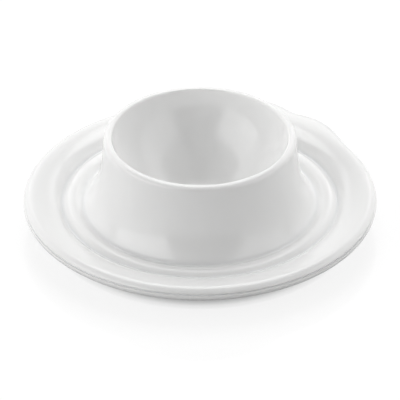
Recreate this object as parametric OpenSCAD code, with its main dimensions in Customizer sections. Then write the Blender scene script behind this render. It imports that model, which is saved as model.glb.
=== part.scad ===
// Egg cup on a fixed saucer, in white glazed porcelain.
// The axis of the cup is Z. Z = 0 is the table that the foot ring stands on.
// The thumb tab points along +Y.

/* [Saucer] */
// Diameter over the saucer's rim, without the thumb tab
saucer_d = 100; // [84:1:120]
// Width of the rolled rim, seen from above
rim_w = 5.4; // [4:0.2:6.4]
// Height of the rolled rim
rim_t = 4.2; // [3.4:0.2:4.8]
// Height of the rim's widest line above the seat
rim_rise = 1; // [0.6:0.1:2]
// Run of the sloping ledge, from the rim's crest in to the groove
slope_run = 8; // [6:0.2:10]
// Thickness of the saucer under the cup's wall
plate_t = 2.6; // [2.2:0.1:3.4]

/* [Bead ring round the cup] */
// Width of the bead's inner side, from its crest to the cup's wall
bead_w = 2.9; // [2.2:0.1:3.6]
// Height of the bead above the seat
bead_rise = 1.4; // [1.1:0.1:1.9]
// Depth of the groove below the bead's crest
groove_drop = 1.1; // [0.6:0.1:1.4]
// Width of the groove's flat bottom
groove_w = 0.65; // [0.4:0.05:1.4]

/* [Cup] */
// Height of the cup's lip above the table
cup_h = 29.5; // [24:0.5:38]
// Diameter of the mouth, inside the lip
mouth_d = 49.8; // [42:0.2:56]
// Thickness of the rounded lip
lip_t = 2.4; // [2:0.1:3]
// Radius of the lip's inner edge
lip_edge_r = 0.5; // [0.3:0.05:0.8]
// Width of the flared wall's foot, where it meets the saucer
base_w = 3; // [2.4:0.1:3.8]
// Thickness of the bowl for the egg
bowl_t = 2.6; // [2:0.1:3.2]
// Height of the bowl's underside above the table
bowl_clear = 4.2; // [2:0.1:6]

/* [Foot ring] */
// Height of the foot ring, from the table to the saucer's underside
foot_h = 4.4; // [3:0.1:6]
// How far the resting face lies inside the bottom of the groove
foot_inset = 2.1; // [1.4:0.1:3]
// Width of the resting face
foot_w = 1.8; // [1.4:0.1:2.4]
// How far each side of the ring leans out towards the saucer
foot_draft = 0.5; // [0.2:0.1:0.8]
// Radius that breaks the edges of the resting face
foot_edge_r = 0.35; // [0.2:0.05:0.5]

/* [Thumb tab] */
// How far the tongue reaches past the rim
tongue_reach = 5.7; // [4:0.1:8]
// Half angle that the tongue takes at the rim
tongue_spread = 30; // [24:1:36]
// How far the two shoulders reach past the rim
shoulder_reach = 3.5; // [2:0.1:4]
// Angle between the tab's middle and each shoulder's crest
shoulder_angle = 24; // [20:1:30]
// Half angle that a shoulder takes at the rim
shoulder_spread = 21; // [16:1:24]

/* [Hidden] */
$fn = 128;

GLAZE_COLOR = "white";
BISQUE_COLOR = "linen";

// Steps along each curve of a profile
CURVE_STEPS = 24;
// Steps round the rim under the tab, and along the tab's rounded edge
TAB_STEPS = 64;
EDGE_STEPS = 12;
// Steps of the rolled rim, from its crest, before the tab begins
JOIN_STEPS = 2;
// How tightly the tongue and the shoulders blend where they meet
BLEND_POWER = 8;

// Handles of each curve, as shares of the way across and of the way up or down
slope_shares = [[0.075, 0.45], [0.525, 0.93]];
under_shares = [[0.33, 0], [0.67, 1]];
flare_shares = [[0.02, 0.43], [0.35, 0.84]];
hollow_shares = [[0.2, 0.35], [0.45, 0.7]];
bowl_shares = [[0.47, 0], [0.943, 0.5]];
// Share of the slope's run that the level underside reaches past the groove
level_share = 0.25;
// Share of the lip's thickness that its outer round falls
lip_drop_share = 0.5;
// Share of the flare above the joint between bowl and wall
joint_share = 0.08;
// Share of a shoulder's spread after which the tab ends
run_out_share = 0.9;
// Share by which the tongue's edge is blunter than an ellipse
blunt_share = 0.33;

// Levels: the table is zero, and the seat is what the cup stands on
seat_level = foot_h + plate_t;
rim_level = seat_level + rim_rise;
rim_crest_z = rim_level + rim_t / 2;
rim_low_z = rim_level - rim_t / 2;

// From the rim inwards: the rolled rim, the slope, the groove, the bead and the cup's wall
rim_r = saucer_d / 2;
rim_mid_r = rim_r - rim_w / 2;
groove_r = rim_mid_r - slope_run;
groove_z = seat_level + bead_rise - groove_drop;

// Bead ring: a circular arc that rises from the seat to its crest and falls to the groove
bead_arc_r = (bead_w * bead_w + bead_rise * bead_rise) / (2 * bead_rise);
bead_mid_z = seat_level + bead_rise - bead_arc_r;
bead_start_angle = 180 - asin((seat_level - bead_mid_z) / bead_arc_r);
bead_end_angle = asin((groove_z - bead_mid_z) / bead_arc_r);
bead_r = groove_r - groove_w - bead_arc_r * cos(bead_end_angle);
base_r = bead_r - bead_w;
seat_in_r = base_r - base_w;

// Slope from the groove up to the rim: steep at first, level at the crest
slope_points = handles([groove_r, groove_z], [rim_mid_r, rim_crest_z], slope_shares);

// Underside: from the rolled rim down to a level face over the foot ring
level_r = groove_r + slope_run * level_share;
under_points = handles([rim_mid_r, rim_low_z], [level_r, foot_h], under_shares);

// Cup: the mouth, the lip with its narrow inner edge and broad outer round, and the flared outer wall
mouth_r = mouth_d / 2;
lip_top_r = mouth_r + lip_edge_r;
lip_out_r = mouth_r + lip_t;
lip_in_z = cup_h - lip_edge_r;
lip_out_z = cup_h - lip_t * lip_drop_share;
flare_points = handles([lip_out_r, lip_out_z], [base_r, seat_level], flare_shares);
joint = bezier(flare_points, joint_share);

// Bowl: a round bottom and a wall that leans out a little, inside and outside
bowl_points = handles([0, bowl_clear + bowl_t], [mouth_r, lip_in_z], bowl_shares);
bowl_out_points = handles([0, bowl_clear], [mouth_r + bowl_t, lip_in_z], bowl_shares);
// Outside of the bowl, up to where it is as wide as the mouth and leaves the outer wall
bowl_out_line = [for (p = curve(bowl_out_points, 0, 1)) if (p[0] < mouth_r) p];
leave_z = lookup(mouth_r, curve(bowl_out_points, 0, 1));

// Inner face of the flared wall, from where the bowl leaves it to the seat
hollow_points = handles([mouth_r, leave_z], [seat_in_r, seat_level], hollow_shares);

// Foot ring: the resting face lies between these radii
foot_out_r = groove_r - foot_inset;
foot_in_r = foot_out_r - foot_w;

// Thumb tab: it leaves the rolled rim at this angle above and below the rim's widest line
join_angle = 90 - 180 * JOIN_STEPS / CURVE_STEPS;
join_r = rim_mid_r + rim_w / 2 * cos(join_angle);
join_h = rim_t / 2 * sin(join_angle);
tab_end_angle = shoulder_angle + shoulder_spread * run_out_share;

// The four points of a curve between two ends, with its handles at shares of the way
function handles(from, to, shares) =
    let (way = to - from)
    [from, for (s = shares) from + [way[0] * s[0], way[1] * s[1]], to];

// A point on the cubic curve through p[0] and p[3], with handles p[1] and p[2]
function bezier(p, t) =
    pow(1 - t, 3) * p[0] + 3 * t * pow(1 - t, 2) * p[1] + 3 * t * t * (1 - t) * p[2] + pow(t, 3) * p[3];

// The points of such a curve between two shares of its way
function curve(p, from, to) =
    [for (i = [0 : CURVE_STEPS]) bezier(p, from + (to - from) * i / CURVE_STEPS)];

// The points of an ellipse's arc; angle 0 points outwards and 90 up
function arc(mid, w, h, from, to) =
    [for (i = [0 : CURVE_STEPS])
        let (a = from + (to - from) * i / CURVE_STEPS)
        [mid[0] + w * cos(a), mid[1] + h * sin(a)]];

// A smooth hump: 1 in the middle, 0 where its argument reaches 1
function hump(u) = abs(u) < 1 ? pow(cos(90 * u), 2) : 0;

// How far the tab reaches past the rim at an angle from its middle
function reach(a) =
    let (tongue = tongue_reach * hump(a / tongue_spread),
        shoulder = shoulder_reach * hump((abs(a) - shoulder_angle) / shoulder_spread))
    pow(pow(tongue, BLEND_POWER) + pow(shoulder, BLEND_POWER), 1 / BLEND_POWER);

// The rolled rim's outer face
function rim_points() = arc([rim_mid_r, rim_level], rim_w / 2, rim_t / 2, 90, -90);

// One section of the tab: its rounded edge from top to bottom, then back up along the rolled rim
function tab_section(past) =
    let (power = 1 - blunt_share * past / tongue_reach, rim = rim_points())
    concat(
        [for (i = [0 : EDGE_STEPS])
            let (b = 90 - 180 * i / EDGE_STEPS)
            [join_r + (rim_r + past - join_r) * pow(abs(cos(b)), power), rim_level + join_h * sin(b)]],
        [for (i = [1 : CURVE_STEPS - 2 * JOIN_STEPS - 1]) rim[CURVE_STEPS - JOIN_STEPS - i]]);

module revolve(points) {
    rotate_extrude() polygon(points);
}

// Saucer: seat, bead, groove, sloping rim with a rolled edge, and the underside
module saucer() {
    color(GLAZE_COLOR) revolve(concat(
        [[seat_in_r, foot_h], [seat_in_r, seat_level]],
        arc([bead_r, bead_mid_z], bead_arc_r, bead_arc_r, bead_start_angle, bead_end_angle),
        curve(slope_points, 0, 1),
        rim_points(),
        curve(under_points, 0, 1)));
}

// Foot ring: tapers down to a narrow resting face, left bare of glaze
module foot_ring() {
    color(BISQUE_COLOR) revolve(concat(
        [[foot_in_r - foot_edge_r - foot_draft, foot_h]],
        arc([foot_in_r, foot_edge_r], foot_edge_r, foot_edge_r, 180, 270),
        arc([foot_out_r, foot_edge_r], foot_edge_r, foot_edge_r, 270, 360),
        [[foot_out_r + foot_edge_r + foot_draft, foot_h]]));
}

// Flared outer wall, from the seat on the saucer to the joint under the lip
module cup_wall() {
    color(GLAZE_COLOR) revolve(concat(
        curve(flare_points, joint_share, 1),
        curve(hollow_points, 1, 0),
        [[lip_top_r, joint[1]]]));
}

// Bowl that holds the egg, with the rounded lip that closes the top of the wall
module egg_bowl() {
    color(GLAZE_COLOR) revolve(concat(
        curve(bowl_points, 0, 1),
        arc([lip_top_r, lip_in_z], lip_edge_r, lip_edge_r, 180, 90),
        arc([lip_top_r, lip_out_z], lip_out_r - lip_top_r, cup_h - lip_out_z, 90, 0),
        curve(flare_points, 0, joint_share),
        [[lip_top_r, joint[1]], [mouth_r, leave_z]],
        [for (i = [len(bowl_out_line) - 1 : -1 : 0]) bowl_out_line[i]]));
}

// Thumb tab: a tongue between two shoulders, lofted along the rolled rim
module thumb_tab() {
    // Its flat faces touch the round rim in their middle, so its corners stand a hair further out
    out = 1 / cos(tab_end_angle / TAB_STEPS);
    sections = [for (i = [0 : TAB_STEPS])
        let (a = tab_end_angle * (2 * i / TAB_STEPS - 1))
        [for (p = tab_section(reach(a))) [p[0] * out * sin(a), p[0] * out * cos(a), p[1]]]];
    n = len(sections[0]);
    color(GLAZE_COLOR) polyhedron(
        points = [for (s = sections) each s],
        faces = concat(
            [[for (k = [0 : n - 1]) n - 1 - k]],
            [[for (k = [0 : n - 1]) TAB_STEPS * n + k]],
            [for (i = [0 : TAB_STEPS - 1], k = [0 : n - 1])
                [i * n + k, (i + 1) * n + (k + 1) % n, (i + 1) * n + k]],
            [for (i = [0 : TAB_STEPS - 1], k = [0 : n - 1])
                [i * n + k, i * n + (k + 1) % n, (i + 1) * n + (k + 1) % n]]));
}

saucer();
foot_ring();
cup_wall();
egg_bowl();
thumb_tab();
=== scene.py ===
import math

import bpy
import numpy as np
from bpy.props import FloatProperty, FloatVectorProperty, PointerProperty
from bpy.types import Operator, Panel, PropertyGroup
from mathutils import Matrix


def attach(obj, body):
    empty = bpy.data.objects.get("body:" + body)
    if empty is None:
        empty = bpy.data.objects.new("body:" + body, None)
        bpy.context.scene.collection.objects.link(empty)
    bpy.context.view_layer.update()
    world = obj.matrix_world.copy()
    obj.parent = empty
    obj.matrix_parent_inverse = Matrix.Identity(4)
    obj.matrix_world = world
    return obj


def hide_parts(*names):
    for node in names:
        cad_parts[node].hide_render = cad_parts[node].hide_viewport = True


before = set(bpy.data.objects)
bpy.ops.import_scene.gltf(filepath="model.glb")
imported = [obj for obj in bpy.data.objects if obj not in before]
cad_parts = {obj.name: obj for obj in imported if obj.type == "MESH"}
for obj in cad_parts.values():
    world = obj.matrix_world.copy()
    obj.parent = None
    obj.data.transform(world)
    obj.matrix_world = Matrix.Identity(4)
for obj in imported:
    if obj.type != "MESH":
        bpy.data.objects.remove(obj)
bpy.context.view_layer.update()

bl_info = {
    "name": "Egg cup on a fixed saucer",
    "version": (1, 0, 0),
    "blender": (4, 5, 0),
    "location": "View3D > Sidebar > Egg cup",
    "description": "Glazed porcelain egg cup with its saucer, thumb tab and bare foot, and the studio round it",
    "category": "Add Mesh",
}

MM = 0.001

# Columns of every surface that is carried round the axis, and the angle of each.
AROUND = 256
ANGLES = np.arange(AROUND)[:, None] * 2 * np.pi / AROUND

# The outline's steps: their length while it is softened, and in the finished outline the longest one and the most
# that one turns. Points that are nearer than the last of these lengths are one.
FINE_STEP = 0.05 * MM
LONG_STEP = 1.1 * MM
TURN_STEP = math.radians(7.8)
SAME_POINT = 1e-9
# How many points the outline's turn is averaged over: of the fine outline, and of the finished one for the glaze.
FINE_WINDOW, GLAZE_WINDOW = 21, 5
# Where a bell curve is cut off, in times its own softness.
BELL_REACH = 4
# How softly the lip's own softness and the crease's begin, in times the glaze's, and how far inside the wall's
# foot the middle of the crease's band lies, as a share of its width.
LIP_BLEND, CREASE_BLEND = 4, 2
CREASE_SHIFT = 1 / 8

# Where the two handles of each curve of the outline lie, as shares of the way across and of the way up.
BOWL_HANDLES = (0.47, 0), (0.943, 0.5)
WALL_HANDLES = (0.02, 0.43), (0.35, 0.84)
LEDGE_HANDLES = (0.075, 0.45), (0.525, 0.93)
UNDERSIDE_HANDLES = (0.33, 0), (0.67, 1)
HOLLOW_HANDLES = (0.2, 0.35), (0.45, 0.7)

# How far the cosine's power falls below one where the thumb tab reaches furthest, so that its edge is fuller than
# the plain rim's ellipse, and a number that keeps its reach above zero all round the rim.
TAB_FULLNESS = 0.33
NEXT_TO_NOTHING = 1e-60

# The outline's turn, in radians to a millimetre, from which glaze pools in a hollow and draws thin over an edge,
# and how much more of it makes either complete.
POOL_FROM = 0.08
THIN_FROM = 0.25
TURN_FULL = 0.9

# The glaze's lower edge: how many waves go round the foot, how high they are in millimetres, and their start. They
# lift the glaze that is lower than so many times the edge's height and nearer than so far to the foot's sides.
LINE_WAVES = (3, 0.10, 0.6), (8, 0.06, 2.1), (21, 0.03, 4.0)
LINE_TIMES = 3
LINE_BAND = 1.2 * MM
# How far the bare foot reaches up inside the glaze, and its points on each rounded edge and across its resting
# face, with the ends.
FOOT_LAP = 0.9 * MM
EDGE_POINTS, FACE_POINTS = 14, 8

# Noise in the glaze and in the bare porcelain: cells to a metre, detail and roughness.
CLOUD = 45.0, 3.0, 0.5
WAVES = 95.0, 1.0, 0.5
SHEEN = 160.0, 2.0, 0.5
PEEL = 700.0, 2.0, 0.5
PATCH = 240.0, 3.0, 0.5
GRAIN = 5200.0, 3.0, 0.6
# How deep the bumps made from it are, and how strong.
WAVES_BUMP = 0.05 * MM, 0.25
PEEL_BUMP = 0.006 * MM, 0.35
GRAIN_BUMP = 0.04 * MM, 0.6

# Softboxes: azimuth from the camera's side to its right and elevation in degrees, width and height in metres at a
# metre from the cup, and brightness. The side of the camera is left dark.
SOFTBOXES = {
    "left_softbox": (-60.5, 24, 1.1, 0.84, 2.2),
    "right_softbox": (68, 24, 0.93, 0.84, 1.5),
    "left_back_softbox": (-127, 25, 1.15, 0.8, 1.1),
    "right_back_softbox": (128, 25, 1.15, 0.8, 1.3),
    "back_softbox": (180, 24, 0.8, 0.6, 1.3),
    "back_top_softbox": (180, 61, 0.62, 0.6, 3.0),
    "left_top_softbox": (-75, 62, 0.7, 0.45, 0.2),
    "right_top_softbox": (75, 62, 0.7, 0.45, 0.4),
}
# The point in the cup that they face.
LAMP_TARGET = (0, 0, 12 * MM)

# The floor: its rings and sides, the radii of the first ring and the last, and how rough its gloss is.
FLOOR_RINGS, FLOOR_SIDES = 24, 96
FLOOR_RADII = 0.02, 4.0
FLOOR_ROUGHNESS = 0.05
# The white that it shows before a share of its own light and shade is added, how steeply that white darkens near
# a part, which is a painted contact shade, and from how many samples, and the radii between which it comes into
# the glaze's reflections, from the saucer's edge outwards.
FLOOR_WHITE = 0.83
CONTACT_POWER = 1.4
CONTACT_SAMPLES = 16
MIRROR_EDGE = 49 * MM, 61 * MM

# The walls in the reflections: the cosine of half the dark gap at the camera's side and the width of its edge, the
# sines of the elevations between which the dark ceiling begins, and a little over one, for a root above zero.
GAP_COSINE, GAP_EDGE = 0.79, 0.06
CEILING = 0.8, 0.84
OVER_ONE = 1.0001

# The camera: the width of its sensor in millimetres, and how far it sees in metres.
SENSOR_W = 36.0
SIGHT = 20.0


def length(name, description, millimetres):
    return FloatProperty(name=name, description=description, default=millimetres * MM, min=0.0, unit="LENGTH",
                         precision=5)


def angle(name, description, degrees):
    return FloatProperty(name=name, description=description, default=math.radians(degrees), subtype="ANGLE",
                         unit="ROTATION")


def colour(name, description, rgb):
    return FloatVectorProperty(name=name, description=description, default=rgb, size=3, subtype="COLOR",
                               min=0.0, max=1.0)


def number(name, description, value, most=100.0):
    return FloatProperty(name=name, description=description, default=value, min=0.0, max=most)


class SaucerSizes(PropertyGroup):
    """Sizes of the saucer, its bead ring and its foot."""
    saucer_d: length("Saucer", "Diameter over the rim, without the thumb tab", 100)
    rim_w: length("Rim width", "Width of the rolled rim, seen from above", 5.4)
    rim_t: length("Rim height", "Height of the rolled rim", 4.2)
    rim_rise: length("Rim rise", "Height of the rim's widest line above the seat", 1)
    line_up: angle("Rim line", "Place of the fine line round the rim, above its widest part", 15)
    line_deep: length("Rim line depth", "Depth of the fine line round the rim", 0.45)
    line_wide: length("Rim line width", "Half the width of the fine line round the rim", 0.22)
    slope_run: length("Ledge", "Run of the sloping ledge, from the rim's crest to the groove", 8)
    plate_t: length("Plate", "Thickness of the saucer under the cup's wall", 2.6)
    bead_w: length("Bead width", "From the bead's crest to the cup's wall", 2.9)
    bead_rise: length("Bead rise", "Height of the bead above the seat", 1.4)
    groove_drop: length("Groove", "Depth of the groove below the bead's crest", 1.1)
    groove_w: length("Groove width", "Width of the groove's flat bottom", 0.65)
    foot_h: length("Foot height", "From the table to the saucer's underside", 4.4)
    foot_inset: length("Foot inset", "From the groove's bottom in to the resting face", 2.1)
    foot_w: length("Foot width", "Width of the resting face", 1.8)
    foot_draft: length("Foot draft", "How far each side of the foot ring leans out", 0.5)
    foot_edge_r: length("Foot edge", "Radius that breaks the edges of the resting face", 0.35)


class CupSizes(PropertyGroup):
    """Sizes of the flared wall and the bowl."""
    cup_h: length("Cup height", "Height of the cup's lip above the table", 29.5)
    mouth_d: length("Mouth", "Diameter of the mouth, inside the lip", 49.8)
    lip_t: length("Lip", "Thickness of the rounded lip", 2.4)
    lip_edge_r: length("Lip edge", "Radius of the lip's inner edge", 0.5)
    base_w: length("Wall foot", "Width of the flared wall's foot", 3)
    bowl_t: length("Bowl wall", "Thickness of the bowl for the egg", 2.6)
    bowl_clear: length("Bowl clearance", "Height of the bowl's underside above the table", 4.2)


class TabSizes(PropertyGroup):
    """Sizes of the thumb tab, round the rim from its middle."""
    tongue_reach: length("Tongue", "How far the tongue reaches past the rim", 5.7)
    tongue_spread: angle("Tongue spread", "Half angle that the tongue takes at the rim", 30)
    shoulder_reach: length("Shoulders", "How far the two shoulders reach past the rim", 3.5)
    shoulder_angle: angle("Shoulder angle", "From the tab's middle to each shoulder's crest", 24)
    shoulder_spread: angle("Shoulder spread", "Half angle that a shoulder takes at the rim", 21)


class GlazeLook(PropertyGroup):
    """The clear gloss glaze over white porcelain, and the bare foot."""
    soft: length("Glaze softness", "How far the glaze rounds the edges under it", 0.35)
    lip_soft: length("Lip softness", "The same at the lip, where the glaze draws thin", 0.15)
    crease_soft: length("Crease softness", "The same where the wall meets the bead, which the glaze fills", 1.0)
    crease_w: length("Crease width", "Width of the band there that is softened so", 4.8)
    porcelain: colour("Porcelain", "Colour of the porcelain under the glaze", (0.86, 0.86, 0.855))
    pool: colour("Pooled glaze", "Colour where the glaze gathers in a hollow", (0.8, 0.81, 0.815))
    thin: colour("Thin glaze", "Colour where the glaze draws thin over an edge", (0.88, 0.876, 0.868))
    gloss: number("Glaze roughness", "Roughness of the glaze", 0.14, 1.0)
    bare: colour("Bare porcelain", "Colour of the unglazed resting face", (0.8, 0.775, 0.73))
    grime: colour("Rub marks", "Colour of the marks where the resting face is rubbed", (0.62, 0.61, 0.6))
    line_h: length("Glaze line", "Height at which the glaze stops above the table", 0.62)
    glaze_t: length("Glaze thickness", "Thickness of the glaze where it stops", 0.08)


class StudioLook(PropertyGroup):
    """The floor, the lamps and the camera."""
    elevation: angle("Elevation", "Height of the camera, as an angle above the table", 32.8)
    azimuth: angle("Azimuth", "Turn of the camera round the cup", 15)
    distance: FloatProperty(name="Distance", description="From the camera to the cup", default=3.0, unit="LENGTH")
    aim_h: length("Aim", "Height above the table that the camera looks at", 8.148)
    lens: number("Lens", "Focal length in millimetres on a 36 mm sensor", 954.0, 2000.0)
    floor: colour("Floor", "Colour of the floor", (0.6, 0.6, 0.6))
    shadow: number("Shadow", "How much of the floor's own light and shade shows, against plain white", 0.3, 1.0)
    # The contact shade is painted: it darkens the floor's glowing white by ambient occlusion.
    contact: length("Contact shade", "How near a part has to be to the floor to darken its white", 4.8)
    light: number("Light", "Strength of all the softboxes together", 1.045)
    walls: number("Walls", "How bright the studio's walls are in the glaze", 0.4, 1.0)


class Curves:
    """Lines of the cup's outline, worked out as whole arrays of radius and height."""

    @staticmethod
    def bezier(start, end, handles, n):
        """A cubic curve from start to end; its two handles lie at shares of the way across and up."""
        p0, p3 = np.asarray(start, float), np.asarray(end, float)
        p1, p2 = (p0 + (p3 - p0) * np.asarray(shares) for shares in handles)
        t = np.linspace(0.0, 1.0, n)[:, None]
        return (1 - t) ** 3 * p0 + 3 * t * (1 - t) ** 2 * p1 + 3 * t * t * (1 - t) * p2 + t ** 3 * p3

    @staticmethod
    def arc(mid, w, h, start, end, n):
        """Part of an ellipse: the middle plus w times the cosine and h times the sine of an angle in degrees."""
        a = np.radians(np.linspace(start, end, n))
        return np.column_stack([mid[0] + w * np.cos(a), mid[1] + h * np.sin(a)])


def smooth(values, n):
    """The average of each value and its neighbours, n of them together, with the end values repeated."""
    return np.convolve(np.pad(values, n // 2, mode="edge"), np.ones(n) / n, mode="valid")


def hump(u):
    """A smooth hump: the squared cosine of a quarter turn times u, and zero past one."""
    return np.where(np.abs(u) < 1, np.cos(np.pi / 2 * np.clip(u, -1, 1)) ** 2, 0.0)


def tab_reach(around, tab):
    """How far the tab stands past the rim at each angle from its middle: the eighth root of the sum of the eighth
    powers of a tongue hump and a shoulder hump, so that the two run into each other softly."""
    a = np.abs((around + np.pi) % (2 * np.pi) - np.pi)
    tongue = tab.tongue_reach * hump(a / tab.tongue_spread)
    shoulder = tab.shoulder_reach * hump((a - tab.shoulder_angle) / tab.shoulder_spread)
    return (tongue ** 8 + shoulder ** 8 + NEXT_TO_NOTHING) ** 0.125


class Profile:
    """The outline that is carried round the axis: from the bottom of the bowl over the lip, down the flared wall,
    over the bead, up the ledge, round the rim, under the saucer, down and up the foot ring and up the hollow."""

    def __init__(self, saucer, cup, look):
        s, c = saucer, cup
        seat = s.foot_h + s.plate_t
        rim_level = seat + s.rim_rise
        rim_mid = s.saucer_d / 2 - s.rim_w / 2
        groove_r = rim_mid - s.slope_run
        groove_z = seat + s.bead_rise - s.groove_drop
        # The bead is part of a circle: its radius, its middle, and the angles at the wall and at the groove.
        bead_arc = (s.bead_w ** 2 + s.bead_rise ** 2) / (2 * s.bead_rise)
        bead_mid = seat + s.bead_rise - bead_arc
        start = 180 - math.degrees(math.asin((seat - bead_mid) / bead_arc))
        end = math.degrees(math.asin((groove_z - bead_mid) / bead_arc))
        bead_r = groove_r - s.groove_w - bead_arc * math.cos(math.radians(end))
        base_r = bead_r - s.bead_w
        seat_in = base_r - c.base_w
        mouth = c.mouth_d / 2
        lip_out, lip_top, edge = mouth + c.lip_t, mouth + c.lip_edge_r, c.lip_edge_r
        lip_in_z, lip_out_z = c.cup_h - edge, c.cup_h - c.lip_t / 2
        # Under the cup the bowl's outer line shows as far out as the mouth, where it meets the wall's inner line.
        bowl_out = Curves.bezier((0, c.bowl_clear), (mouth + c.bowl_t, lip_in_z), BOWL_HANDLES, 400)
        leave_z = np.interp(mouth, bowl_out[:, 0], bowl_out[:, 1])
        foot_out = groove_r - s.foot_inset
        foot_in = foot_out - s.foot_w
        lean = s.foot_edge_r + s.foot_draft
        # The outline's parts in order. Each curve ends with the number of points that it is worked out at.
        parts = [
            ("bowl", Curves.bezier((0, c.bowl_clear + c.bowl_t), (mouth, lip_in_z), BOWL_HANDLES, 160)),
            ("lip", Curves.arc((lip_top, lip_in_z), edge, edge, 180, 90, 30)),
            ("lip", Curves.arc((lip_top, lip_out_z), lip_out - lip_top, c.cup_h - lip_out_z, 90, 0, 60)),
            ("wall", Curves.bezier((lip_out, lip_out_z), (base_r, seat), WALL_HANDLES, 160)),
            ("bead", Curves.arc((bead_r, bead_mid), bead_arc, bead_arc, start, end, 60)),
            ("ledge", Curves.bezier((groove_r, groove_z),
                                    (rim_mid, rim_level + s.rim_t / 2), LEDGE_HANDLES, 80)),
            ("rim", Curves.arc((rim_mid, rim_level), s.rim_w / 2, s.rim_t / 2, 90, -90, 121)),
            ("underside", Curves.bezier((rim_mid, rim_level - s.rim_t / 2),
                                        (groove_r + s.slope_run / 4, s.foot_h), UNDERSIDE_HANDLES, 60)),
            ("foot", [[foot_out + lean, s.foot_h], [foot_out + s.foot_edge_r, look.line_h]]),
            ("foot", [[foot_in - s.foot_edge_r, look.line_h], [foot_in - lean, s.foot_h]]),
            ("hollow", [[seat_in, s.foot_h], [seat_in, seat]]),
            ("hollow", Curves.bezier((mouth, leave_z), (seat_in, seat), HOLLOW_HANDLES, 80)[::-1]),
            ("hollow", bowl_out[bowl_out[:, 0] < mouth][::-1]),
        ]
        points = np.vstack([np.asarray(part, float) for _, part in parts])
        part_of = np.repeat([name for name, _ in parts], [len(part) for _, part in parts])
        # The place on the rim's roll is an angle that goes from 90 at its crest to -90 at its underside.
        rim = part_of == "rim"
        turn = np.where(np.cumsum(rim) > 0, -90.0, 90.0)
        turn[rim] = np.linspace(90, -90, rim.sum())
        crease = np.isin(part_of, ("wall", "bead"))
        crease &= np.abs(points[:, 0] - base_r + look.crease_w * CREASE_SHIFT) < look.crease_w / 2
        self.soften(points, turn, part_of == "lip", crease, s, look)
        self.rim_half = s.rim_w / 2
        self.foot = (foot_in, foot_out, s.foot_edge_r, s.foot_draft, s.foot_h)

    def soften(self, points, turn, lip, crease, saucer, look):
        """The outline at even fine steps, averaged along its length with a bell curve as wide as the glaze is
        soft, narrower at the lip and wider in the crease. The fine line on the rim then goes in as a bell curve
        across it, and the steps are thinned out to follow how fast the outline turns."""
        step = np.hypot(*np.diff(points, axis=0).T)
        keep = np.concatenate([[True], step > SAME_POINT])
        points = points[keep]
        far = np.concatenate([[0], np.cumsum(np.hypot(*np.diff(points, axis=0).T))])
        fine = np.arange(0, far[-1], FINE_STEP)
        x, z, turn, lip, crease = (np.interp(fine, far, line) for line in (
            points[:, 0], points[:, 1], turn[keep], lip[keep].astype(float), crease[keep].astype(float)))
        lip = self.spread(lip, LIP_BLEND * look.soft)
        crease = self.spread(crease, CREASE_BLEND * look.soft)
        x, z = (self.spread(line, look.soft, mirror) * (1 - lip - crease)
                + self.spread(line, look.lip_soft, mirror) * lip
                + self.spread(line, look.crease_soft, mirror) * crease
                for line, mirror in ((x, -1.0), (z, 1.0)))
        turn = self.spread(turn, look.soft)
        off_line = (np.radians(turn) - saucer.line_up) * saucer.rim_t / 2 / saucer.line_wide
        facing = math.atan2(math.sin(saucer.line_up) / saucer.rim_t, math.cos(saucer.line_up) / saucer.rim_w)
        cut = saucer.line_deep * np.exp(-off_line ** 2)
        x, z = x - cut * math.cos(facing), z - cut * math.sin(facing)
        x[[0, -1]] = 0.0
        heading = np.unwrap(np.arctan2(np.gradient(z), np.gradient(x)))
        bend = smooth(np.abs(np.gradient(heading)) / FINE_STEP, FINE_WINDOW)
        weight = 1 / LONG_STEP + bend / TURN_STEP
        count = np.concatenate([[0], np.cumsum(weight[1:] * FINE_STEP)])
        place = np.arange(len(fine))
        at = np.interp(np.linspace(0, count[-1], int(count[-1]) + 1), count, place)
        x, z, self.turn, self.heading = (np.interp(at, place, line) for line in (x, z, turn, heading))
        self.points, self.along = np.column_stack([x, z]), at * FINE_STEP

    @staticmethod
    def spread(values, soft, mirror=1.0):
        """Values averaged with a bell curve; past each end they go on as their mirror image, times mirror."""
        half = int(round(soft * BELL_REACH / FINE_STEP))
        bell = np.exp(-0.5 * (np.arange(-half, half + 1) * FINE_STEP / soft) ** 2)
        longer = np.concatenate([mirror * values[half:0:-1], values, mirror * values[-2:-half - 2:-1]])
        return np.convolve(longer, bell / bell.sum(), mode="valid")


def carry_round(radius, height):
    """A point of radius r and height z goes to r times the sine, r times the cosine and z, at every angle round
    the axis. The radius may differ from one angle to the next."""
    return np.stack([radius * np.sin(ANGLES), radius * np.cos(ANGLES), height + 0 * ANGLES], axis=-1)


def revolve_skin(profile, tab):
    """The outline carried round the axis. On the rolled rim the radius grows by the tab's reach: half the rim's
    width plus the reach, times the cosine of the place on the roll to a power that falls as the tab grows, takes
    the place of half the rim's width times that cosine."""
    reach = tab_reach(ANGLES, tab)
    cosine = np.clip(np.cos(np.radians(profile.turn[1:-1])), 0, 1)
    power = 1 - TAB_FULLNESS * reach / tab.tongue_reach
    grown = (profile.rim_half + reach) * cosine ** power - profile.rim_half * cosine
    return carry_round(profile.points[1:-1, 0] + grown, profile.points[1:-1, 1])


def grid_mesh(name, xyz, poles=()):
    """A grid of columns and rings closed round the axis. Two poles close its first ring and its last; without them
    the last ring joins the first."""
    n, m = xyz.shape[:2]
    index = np.arange(n * m).reshape(n, m)
    right, after = np.roll(index, -1, axis=0), np.roll(index, -1, axis=1)
    quads = np.stack([index, right, np.roll(right, -1, axis=1), after], axis=-1)
    points, loops, fans = [xyz.reshape(-1, 3)], [], 0
    if poles:
        quads = quads[:, :-1]
        points.append(np.asarray(poles, float))
        first, last, fans = np.full(n, n * m), np.full(n, n * m + 1), 2 * n
        loops = [np.column_stack([first, right[:, 0], index[:, 0]]).ravel(),
                 np.column_stack([last, index[:, -1], right[:, -1]]).ravel()]
    return make_mesh(name, np.vstack(points), np.concatenate([quads.ravel()] + loops),
                     np.repeat([4, 3], [quads.size // 4, fans]))


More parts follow.
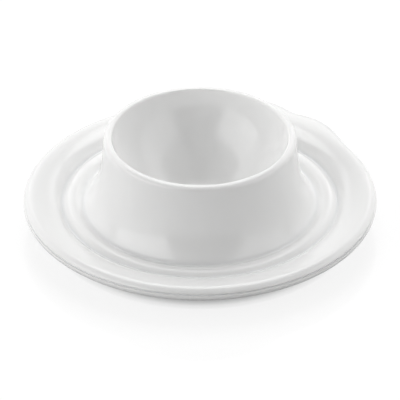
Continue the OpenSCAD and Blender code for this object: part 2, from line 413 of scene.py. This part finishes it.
def make_mesh(name, points, loops, sizes):
    """Puts points and faces into a smooth-shaded object at the origin. The loops are the corners of all faces one
    after another, and the sizes say how many each face has."""
    mesh = bpy.data.meshes.new(name)
    mesh.vertices.add(len(points))
    mesh.vertices.foreach_set("co", np.ascontiguousarray(points, dtype=np.float32).ravel())
    mesh.loops.add(len(loops))
    mesh.loops.foreach_set("vertex_index", loops.astype(np.int32))
    mesh.polygons.add(len(sizes))
    starts = np.concatenate([[0], np.cumsum(sizes)[:-1]]).astype(np.int32)
    mesh.polygons.foreach_set("loop_start", starts)
    mesh.polygons.foreach_set("use_smooth", np.ones(len(sizes), dtype=bool))
    mesh.update(calc_edges=True)
    mesh.validate()
    obj = bpy.data.objects.new(name, mesh)
    bpy.context.scene.collection.objects.link(obj)
    return obj


class Value:
    """A shader value that takes plain arithmetic: each sign adds a Math node."""

    def __init__(self, tree, socket):
        self.tree, self.socket = tree, socket

    def _math(self, operation, *values):
        return self.tree.node("ShaderNodeMath", {"operation": operation}, *values)[0]

    def __add__(self, other):
        return self._math("ADD", self, other)

    def __sub__(self, other):
        return self._math("SUBTRACT", self, other)

    def __rsub__(self, other):
        return self._math("SUBTRACT", other, self)

    def __mul__(self, other):
        return self._math("MULTIPLY", self, other)

    def power(self, other):
        return self._math("POWER", self, other)

    def greater(self, other):
        return self._math("MAXIMUM", self, other)

    def over(self, low, high):
        """How far the value is on its way from low to high, eased and kept between 0 and 1."""
        eased = {"interpolation_type": "SMOOTHSTEP"}
        return self.tree.node("ShaderNodeMapRange", eased, self, low, high, 0.0, 1.0)[0]

    __radd__, __rmul__ = __add__, __mul__


class Node:
    """A node whose outputs are read as values, by name or number."""

    def __init__(self, tree, node):
        self.tree, self.node = tree, node

    def __getitem__(self, output):
        return Value(self.tree, self.node.outputs[output])


class Tree:
    """A material's or the world's nodes, made through one method."""

    def __init__(self, owner):
        owner.use_nodes = True
        self.nodes, self.links = owner.node_tree.nodes, owner.node_tree.links
        self.nodes.clear()

    def node(self, kind, settings=None, *values, **sockets):
        """A node of a kind with its settings, then its sockets in order, then its sockets by name."""
        made = self.nodes.new(kind)
        for key, value in (settings or {}).items():
            setattr(made, key, value)
        for key, value in list(enumerate(values)) + [(k.replace("_", " "), v) for k, v in sockets.items()]:
            if value is not None:
                self.fill(made.inputs[key], value)
        return Node(self, made)

    def fill(self, socket, value):
        """Links a value to a socket, or sets a number or a colour on it."""
        if isinstance(value, Value):
            self.links.new(value.socket, socket)
        elif hasattr(value, "__len__"):
            socket.default_value = tuple(value) + (1.0,) * (len(socket.default_value) - len(value))
        else:
            socket.default_value = value

    def object_place(self):
        return self.node("ShaderNodeTexCoord")["Object"]

    def noise(self, scale, detail, roughness):
        """Noise on the object's own coordinates, so many cells to a metre."""
        return self.node("ShaderNodeTexNoise", None, Vector=self.object_place(), Scale=scale, Detail=detail,
                         Roughness=roughness)["Fac"]

    def mix(self, factor, first, second):
        """A colour between two, as far on as the factor says. Colours have sockets 6 and 7, and output 2."""
        made = self.node("ShaderNodeMix", {"data_type": "RGBA"})
        for key, value in ((0, factor), (6, first), (7, second)):
            self.fill(made.node.inputs[key], value)
        return made[2]

    def bump(self, height, distance, strength, normal=None):
        return self.node("ShaderNodeBump", None, Strength=strength, Distance=distance, Height=height,
                         Normal=normal)["Normal"]

    def output(self, surface, kind="ShaderNodeOutputMaterial"):
        self.node(kind, None, Surface=surface)


def glaze_material(look):
    """Clear gloss glaze: a little darker where it pools and warmer where it draws thin, with a slow waviness, a
    fine orange peel and patches that shine a little less."""
    material = bpy.data.materials.new("clear_gloss_glaze")
    tree = Tree(material)
    pool = tree.node("ShaderNodeAttribute", {"attribute_name": "glaze_pool"})["Fac"]
    thin = tree.node("ShaderNodeAttribute", {"attribute_name": "glaze_thin"})["Fac"]
    cloud = tree.noise(*CLOUD)
    pooled = pool * (0.75 + cloud * 0.5)
    drawn_thin = thin * (0.6 + cloud * 0.6)
    clouded = cloud.over(0.35, 0.8) * 0.12
    body = tree.mix(pooled, look.porcelain, look.pool)
    body = tree.mix(drawn_thin, body, look.thin)
    body = tree.mix(clouded, body, look.thin)
    waves = tree.bump(tree.noise(*WAVES), *WAVES_BUMP)
    peel = tree.bump(tree.noise(*PEEL), *PEEL_BUMP, waves)
    dulled = tree.noise(*SHEEN).over(0.3, 0.8) * 0.035
    rough = look.gloss + dulled + thin * 0.02
    shader = tree.node("ShaderNodeBsdfPrincipled", None, Base_Color=body, Roughness=rough, IOR=1.5, Normal=peel)
    tree.output(shader["BSDF"])
    return material


def bare_material(look):
    """Unglazed porcelain, ground where it rests: fine grain, a little grime in the grain and rub marks."""
    material = bpy.data.materials.new("bare_porcelain")
    tree = Tree(material)
    grain, patch = tree.noise(*GRAIN), tree.noise(*PATCH)
    height = tree.node("ShaderNodeSeparateXYZ", None, tree.object_place())["Z"]
    rubbed = 1 - height.over(0.02 * MM, 0.16 * MM)
    uneven = patch.over(0.4, 0.7) * 0.35
    grimy = grain.over(0.55, 0.75) * 0.3
    marked = rubbed * patch.over(0.45, 0.6) * 0.4
    body = tree.mix(uneven, look.bare, [c * 0.93 for c in look.bare])
    body = tree.mix(grimy, body, [c * 0.82 for c in look.bare])
    body = tree.mix(marked, body, look.grime)
    bump = tree.bump(grain, *GRAIN_BUMP)
    rough = 0.82 - rubbed * 0.22 + patch * 0.06
    shader = tree.node("ShaderNodeBsdfPrincipled", None, Base_Color=body, Roughness=rough, IOR=1.45, Normal=bump)
    tree.output(shader["BSDF"])
    return material


def glaze_attributes(piece, profile):
    """Writes where the glaze pools and where it draws thin: the turn of the outline per millimetre, hollow or
    sharp, carried round."""
    bend = smooth(np.gradient(profile.heading, profile.along) * MM, GLAZE_WINDOW)
    pool = np.clip((bend - POOL_FROM) / TURN_FULL, 0, 1)
    thin = np.clip((-bend - THIN_FROM) / TURN_FULL, 0, 1)
    for name, line in (("glaze_pool", pool), ("glaze_thin", thin)):
        values = np.concatenate([np.tile(line[1:-1], AROUND), line[[0, -1]]]).astype(np.float32)
        piece.data.attributes.new(name, "FLOAT", "POINT").data.foreach_set("value", values)


def line_waves(around):
    """How far the glaze's lower edge is above its set height: three sines round the foot."""
    return sum(high * MM * np.sin(count * around + start) for count, high, start in LINE_WAVES)


class EGGCUP_OT_glazed_body(Operator):
    """Build the cup, bowl, saucer and thumb tab as one glazed surface"""
    bl_idname = "egg_cup.glazed_body"
    bl_label = "Glazed body"

    def execute(self, context):
        scene = context.scene
        look = scene.egg_cup_glaze
        profile = Profile(scene.egg_cup_saucer, scene.egg_cup_cup, look)
        xyz = revolve_skin(profile, scene.egg_cup_tab)
        foot_in, foot_out = profile.foot[:2]
        radius, height = np.hypot(xyz[..., 0], xyz[..., 1]), xyz[..., 2]
        near_foot = (radius > foot_in - LINE_BAND) & (radius < foot_out + LINE_BAND)
        low = (height < look.line_h * LINE_TIMES) & near_foot
        xyz[..., 2] = np.where(low, height + line_waves(ANGLES), height)
        poles = [(0, 0, profile.points[0, 1]), (0, 0, profile.points[-1, 1])]
        piece = grid_mesh("glazed_body", xyz, poles)
        glaze_attributes(piece, profile)
        piece.data.materials.append(glaze_material(look))
        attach(piece, "root")
        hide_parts("saucer", "cup_wall", "egg_bowl", "thumb_tab")
        return {"FINISHED"}


class EGGCUP_OT_bare_foot(Operator):
    """Build the unglazed lower edge of the foot ring"""
    bl_idname = "egg_cup.bare_foot"
    bl_label = "Bare foot"

    def execute(self, context):
        scene = context.scene
        look = scene.egg_cup_glaze
        foot_in, foot_out, edge, draft, foot_h = Profile(scene.egg_cup_saucer, scene.egg_cup_cup, look).foot
        top = look.line_h + FOOT_LAP
        rise = (top - edge) / (foot_h - edge) * draft
        outer, inner = foot_out - look.glaze_t, foot_in + look.glaze_t
        face = np.linspace(outer, inner, FACE_POINTS)[1:-1]
        section = np.vstack([
            [[outer + edge + rise, top]],
            Curves.arc((outer, edge), edge, edge, 0, -90, EDGE_POINTS),
            np.column_stack([face, 0 * face]),
            Curves.arc((inner, edge), edge, edge, -90, -180, EDGE_POINTS),
            [[inner - edge - rise, top]],
        ])
        piece = grid_mesh("bare_foot", carry_round(section[:, 0], section[:, 1]))
        piece.data.materials.append(bare_material(look))
        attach(piece, "root")
        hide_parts("foot_ring")
        return {"FINISHED"}


def direction(azimuth, elevation):
    """The direction from the cup to a place at an azimuth and an elevation."""
    flat = math.cos(elevation)
    return np.array([flat * math.sin(azimuth), -flat * math.cos(azimuth), math.sin(elevation)])


def facing_from(place, back):
    """The matrix of a lamp or camera at a place that faces away from back, with its side level."""
    side = np.cross((0, 0, 1), back)
    side = side / np.linalg.norm(side)
    matrix = np.eye(4)
    matrix[:3, :3] = np.column_stack([side, np.cross(back, side), back])
    matrix[:3, 3] = place
    return Matrix(matrix.tolist())


class EGGCUP_OT_studio(Operator):
    """Build the floor, the soft lamps, the even sky and the camera"""
    bl_idname = "egg_cup.studio"
    bl_label = "Studio"

    def execute(self, context):
        scene = context.scene
        look = scene.egg_cup_studio
        scene.view_settings.view_transform = "Standard"
        self.floor(look)
        self.sky(scene, look)
        self.lamps(scene, look)
        self.camera(scene, look)
        return {"FINISHED"}

    def floor(self, look):
        """A flat disc in rings, each wider than the last. The camera sees it white, with painted shade where a
        part comes near it, and with a share of its own light and shade. The glaze mirrors it so outside the saucer
        alone."""
        radius = np.geomspace(*FLOOR_RADII, FLOOR_RINGS)[:, None]
        around = np.arange(FLOOR_SIDES) * 2 * np.pi / FLOOR_SIDES
        xyz = np.stack([radius * np.cos(around), radius * np.sin(around), 0 * radius * around], axis=-1)
        index = np.arange(FLOOR_RINGS * FLOOR_SIDES).reshape(FLOOR_RINGS, FLOOR_SIDES)
        after = np.roll(index, -1, axis=1)
        quads = np.stack([index[:-1], index[1:], after[1:], after[:-1]], axis=-1)
        fan = np.column_stack([np.full(FLOOR_SIDES, index.size), index[0], after[0]])
        floor = make_mesh("floor", np.vstack([xyz.reshape(-1, 3), [[0, 0, 0]]]),
                          np.concatenate([quads.ravel(), fan.ravel()]),
                          np.repeat([4, 3], [quads.size // 4, FLOOR_SIDES]))
        material = bpy.data.materials.new("white_floor")
        tree = Tree(material)
        rays = tree.node("ShaderNodeLightPath")
        place = tree.node("ShaderNodeSeparateXYZ", None, tree.object_place())
        outside = (place["X"] * place["X"] + place["Y"] * place["Y"]).power(0.5).over(*MIRROR_EDGE)
        seen = rays["Is Camera Ray"].greater(rays["Is Glossy Ray"] * outside)
        # Painted contact shade: ambient occlusion darkens the floor's glowing white where a part comes near it.
        near = tree.node("ShaderNodeAmbientOcclusion", {"samples": CONTACT_SAMPLES}, Distance=look.contact)["AO"]
        base = tree.node("ShaderNodeBsdfPrincipled", None, Base_Color=look.floor, Roughness=FLOOR_ROUGHNESS,
                         IOR=1.5)
        strength = near.power(CONTACT_POWER) * (FLOOR_WHITE / (1 - look.shadow))
        white = tree.node("ShaderNodeEmission", None, (1.0, 1.0, 1.0), strength)
        tree.output(tree.node("ShaderNodeMixShader", None, seen * (1 - look.shadow), base["BSDF"],
                              white["Emission"])["Shader"])
        floor.data.materials.append(material)

    def sky(self, scene, look):
        """White for the camera and in glass. In gloss it shows pale walls with a dark gap at the camera's side,
        and a dark ceiling. It lights nothing."""
        world = bpy.data.worlds.new("studio_walls")
        scene.world = world
        tree = Tree(world)
        rays = tree.node("ShaderNodeLightPath")
        way = tree.node("ShaderNodeSeparateXYZ", None, tree.node("ShaderNodeTexCoord")["Generated"])
        front = way["X"] * math.sin(look.azimuth) - way["Y"] * math.cos(look.azimuth)
        level = (OVER_ONE - way["Z"] * way["Z"]).power(0.5)
        gap = (front - level * GAP_COSINE).over(0.0, GAP_EDGE)
        wall = (1 - gap) * (1 - way["Z"].over(*CEILING)) * look.walls
        plain = rays["Is Camera Ray"].greater(rays["Is Transmission Ray"])
        strength = plain.greater(wall * rays["Is Glossy Ray"])
        tree.output(tree.node("ShaderNodeBackground", None, (1.0, 1.0, 1.0), strength)["Background"],
                    "ShaderNodeOutputWorld")

    def lamps(self, scene, look):
        """Rectangles that face the cup and that the camera doesn't see. The power that gives a rectangle its
        brightness is pi times its area times the brightness."""
        for name, (azimuth, elevation, width, height, brightness) in SOFTBOXES.items():
            data = bpy.data.lights.new(name, "AREA")
            data.shape, data.size, data.size_y = "RECTANGLE", width, height
            data.energy = math.pi * width * height * brightness * look.light
            place = direction(math.radians(azimuth) + look.azimuth, math.radians(elevation))
            back = place - LAMP_TARGET
            lamp = bpy.data.objects.new(name, data)
            lamp.matrix_world = facing_from(place, back / np.linalg.norm(back))
            lamp.visible_camera = False
            scene.collection.objects.link(lamp)

    def camera(self, scene, look):
        data = bpy.data.cameras.new("studio_camera")
        data.sensor_width, data.lens, data.clip_end = SENSOR_W, look.lens, SIGHT
        camera = bpy.data.objects.new("studio_camera", data)
        back = direction(look.azimuth, look.elevation)
        camera.matrix_world = facing_from(np.array([0, 0, look.aim_h]) + back * look.distance, back)
        scene.collection.objects.link(camera)
        scene.camera = camera


PAGES = (
    ("Saucer", "egg_cup_saucer", None),
    ("Cup", "egg_cup_cup", None),
    ("Thumb tab", "egg_cup_tab", "egg_cup.glazed_body"),
    ("Glaze", "egg_cup_glaze", "egg_cup.bare_foot"),
    ("Studio", "egg_cup_studio", "egg_cup.studio"),
)


class EGGCUP_PT_sidebar(Panel):
    """Sizes and finishes of the egg cup"""
    bl_label = "Egg cup"
    bl_idname = "EGGCUP_PT_sidebar"
    bl_space_type = "VIEW_3D"
    bl_region_type = "UI"
    bl_category = "Egg cup"

    def draw(self, context):
        for title, key, button in PAGES:
            box = self.layout.box()
            box.label(text=title)
            group = getattr(context.scene, key)
            for name in group.__annotations__:
                box.prop(group, name)
            if button:
                box.operator(button)


GROUPS = {
    "egg_cup_saucer": SaucerSizes,
    "egg_cup_cup": CupSizes,
    "egg_cup_tab": TabSizes,
    "egg_cup_glaze": GlazeLook,
    "egg_cup_studio": StudioLook,
}
CLASSES = (*GROUPS.values(), EGGCUP_OT_glazed_body, EGGCUP_OT_bare_foot, EGGCUP_OT_studio, EGGCUP_PT_sidebar)


def register():
    for made in CLASSES:
        bpy.utils.register_class(made)
    for key, group in GROUPS.items():
        setattr(bpy.types.Scene, key, PointerProperty(type=group))


def unregister():
    for key in GROUPS:
        delattr(bpy.types.Scene, key)
    for made in reversed(CLASSES):
        bpy.utils.unregister_class(made)


def main():
    register()
    bpy.ops.egg_cup.glazed_body()
    bpy.ops.egg_cup.bare_foot()
    bpy.ops.egg_cup.studio()


if __name__ == "__main__":
    main()
